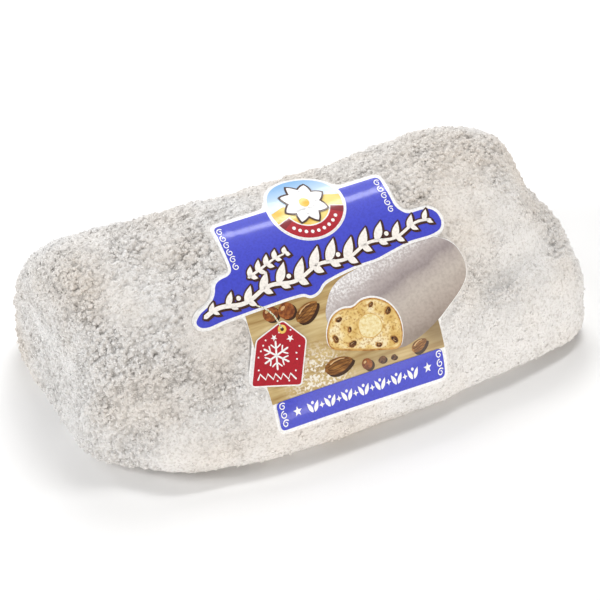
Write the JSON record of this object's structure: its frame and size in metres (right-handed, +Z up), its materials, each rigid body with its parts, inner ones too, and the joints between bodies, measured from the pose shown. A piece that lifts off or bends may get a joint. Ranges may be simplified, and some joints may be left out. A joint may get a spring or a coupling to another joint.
{
  "type": "stollen",
  "caption": "Whole sugar-coated stollen: a long folded fruit loaf with a tall hump, a low front lip, a flat base and a die-cut printed label over its front.",
  "frame": {"origin": "on the floor under the middle of the loaf's outer box", "axes": "+X along the loaf, +Z up from the flat base; the folded lip and the label are on the -Y side"},
  "size_m": [0.1886, 0.1042, 0.0668],
  "materials": {
    "sugar_crust": "matt, thick grainy coat of white sugar over baked dough",
    "printed_paper": "glossy printed paper"
  },
  "bodies": {
    "root": {"stollen_loaf": "sugar_crust", "label": "printed_paper"}
  },
  "joints": []
}
